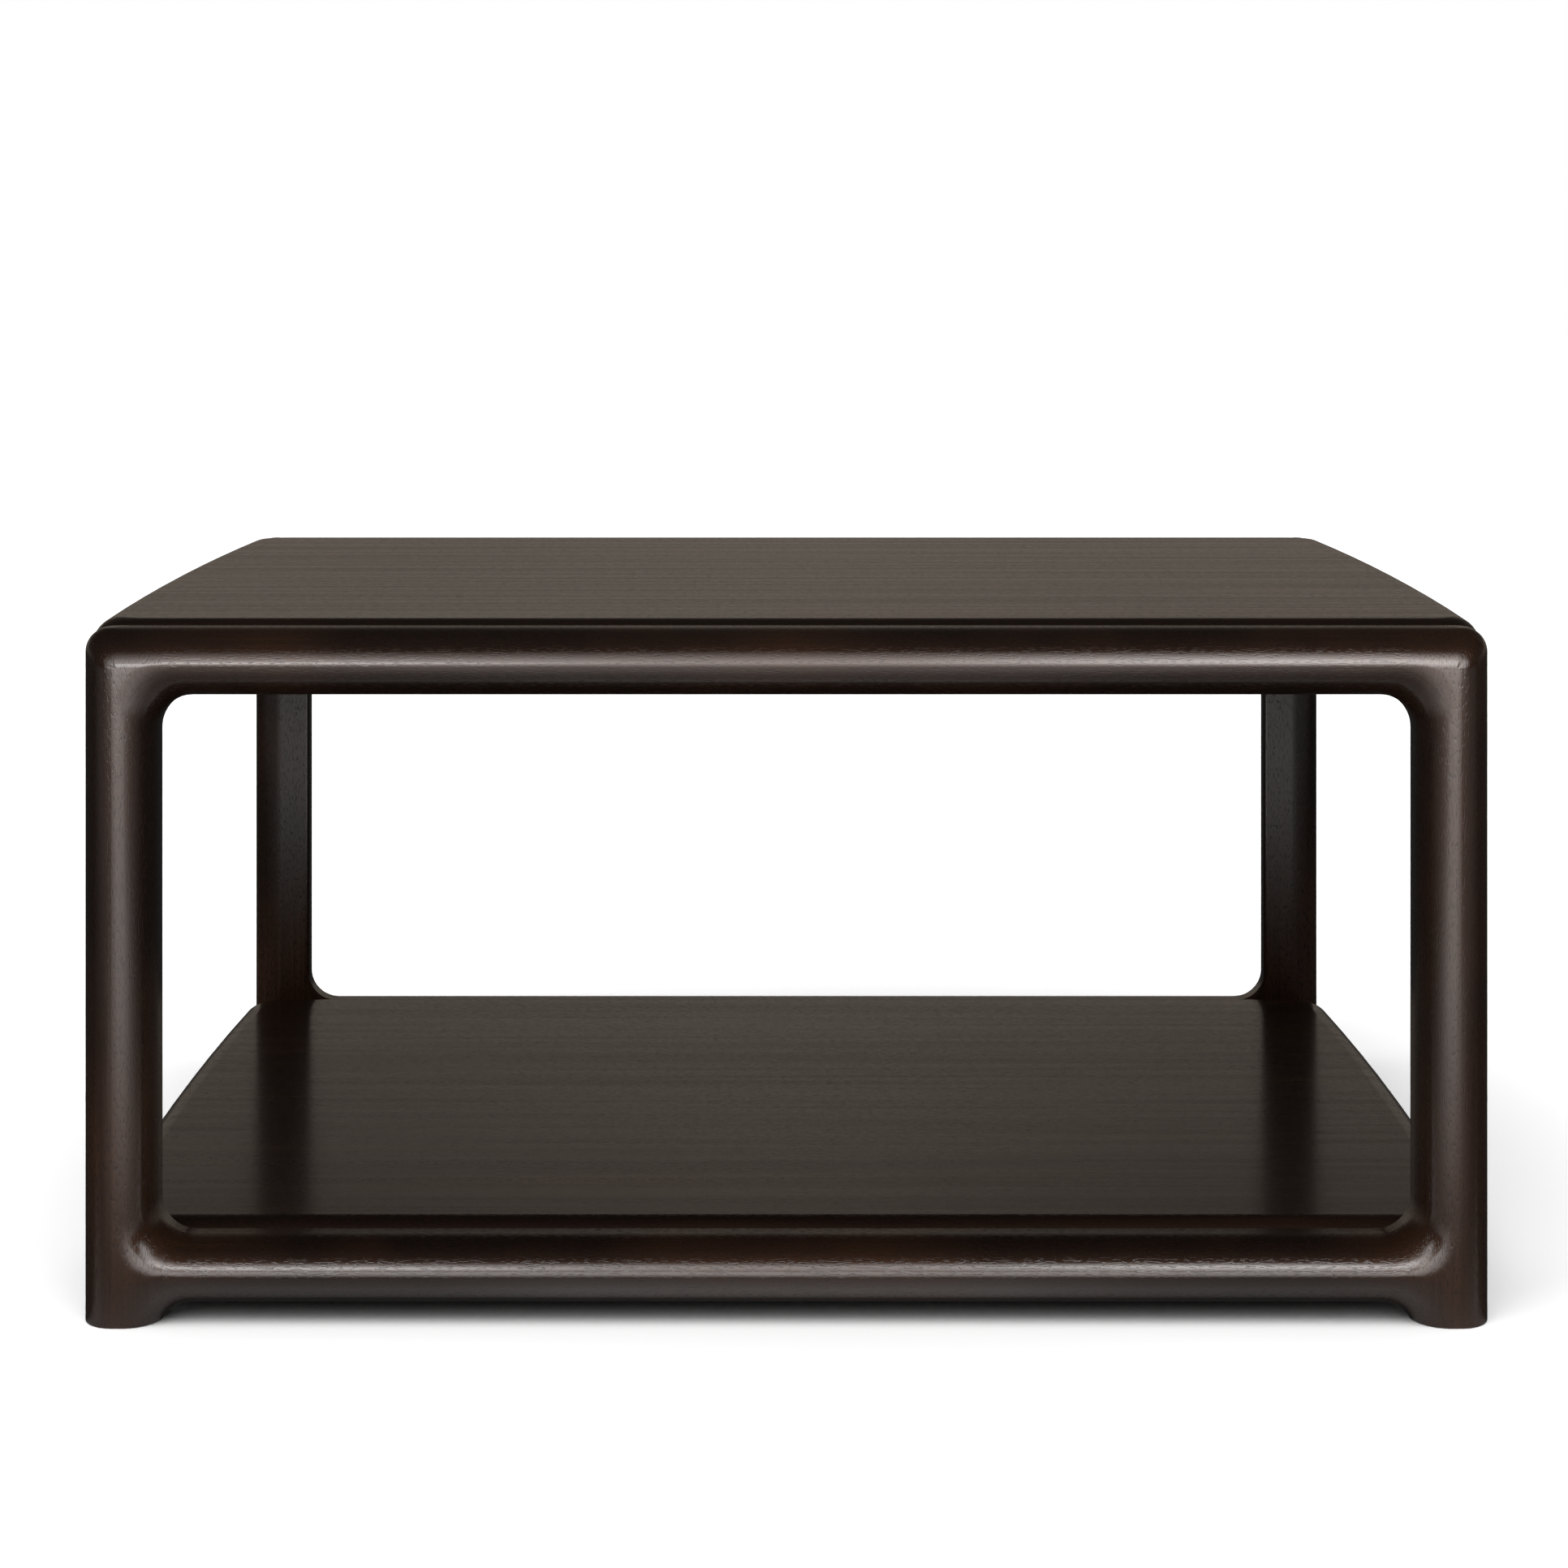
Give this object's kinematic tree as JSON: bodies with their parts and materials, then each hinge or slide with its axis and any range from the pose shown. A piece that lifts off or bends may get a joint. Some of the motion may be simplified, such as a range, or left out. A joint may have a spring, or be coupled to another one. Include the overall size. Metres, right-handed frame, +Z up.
{
  "type": "kang table",
  "caption": "Low square table with a thick bowed top and a matching shelf just above the floor, held between round-edged portal frames.",
  "frame": {"origin": "on the floor under the middle of the table", "axes": "+X to the right as seen from the front, along the rails; +Y to the back; +Z up"},
  "size_m": [0.82, 0.8, 0.3966],
  "materials": {
    "frame_wood": "dark reddish-brown stain under satin varnish, grain along each piece",
    "board_wood": "the same stain and satin varnish, with fine open pores along the boards",
    "bare_wood": "planed, not finished",
    "felt": "dense pressed felt"
  },
  "bodies": {
    "root": {"leg_front_left": "frame_wood", "leg_front_right": "frame_wood", "leg_back_left": "frame_wood", "leg_back_right": "frame_wood", "top_rail_front": "frame_wood", "top_rail_back": "frame_wood", "lower_rail_front": "frame_wood", "lower_rail_back": "frame_wood", "tabletop": "board_wood", "shelf": "board_wood", "top_key_left": "board_wood", "top_key_middle": "board_wood", "top_key_right": "board_wood", "shelf_key_left": "board_wood", "shelf_key_middle": "board_wood", "shelf_key_right": "board_wood", "loose_tenons_top_front": "bare_wood", "loose_tenons_top_back": "bare_wood", "loose_tenons_shelf_front": "bare_wood", "loose_tenons_shelf_back": "bare_wood", "felt_pad_front_left": "felt", "felt_pad_front_right": "felt", "felt_pad_back_left": "felt", "felt_pad_back_right": "felt"}
  },
  "joints": []
}
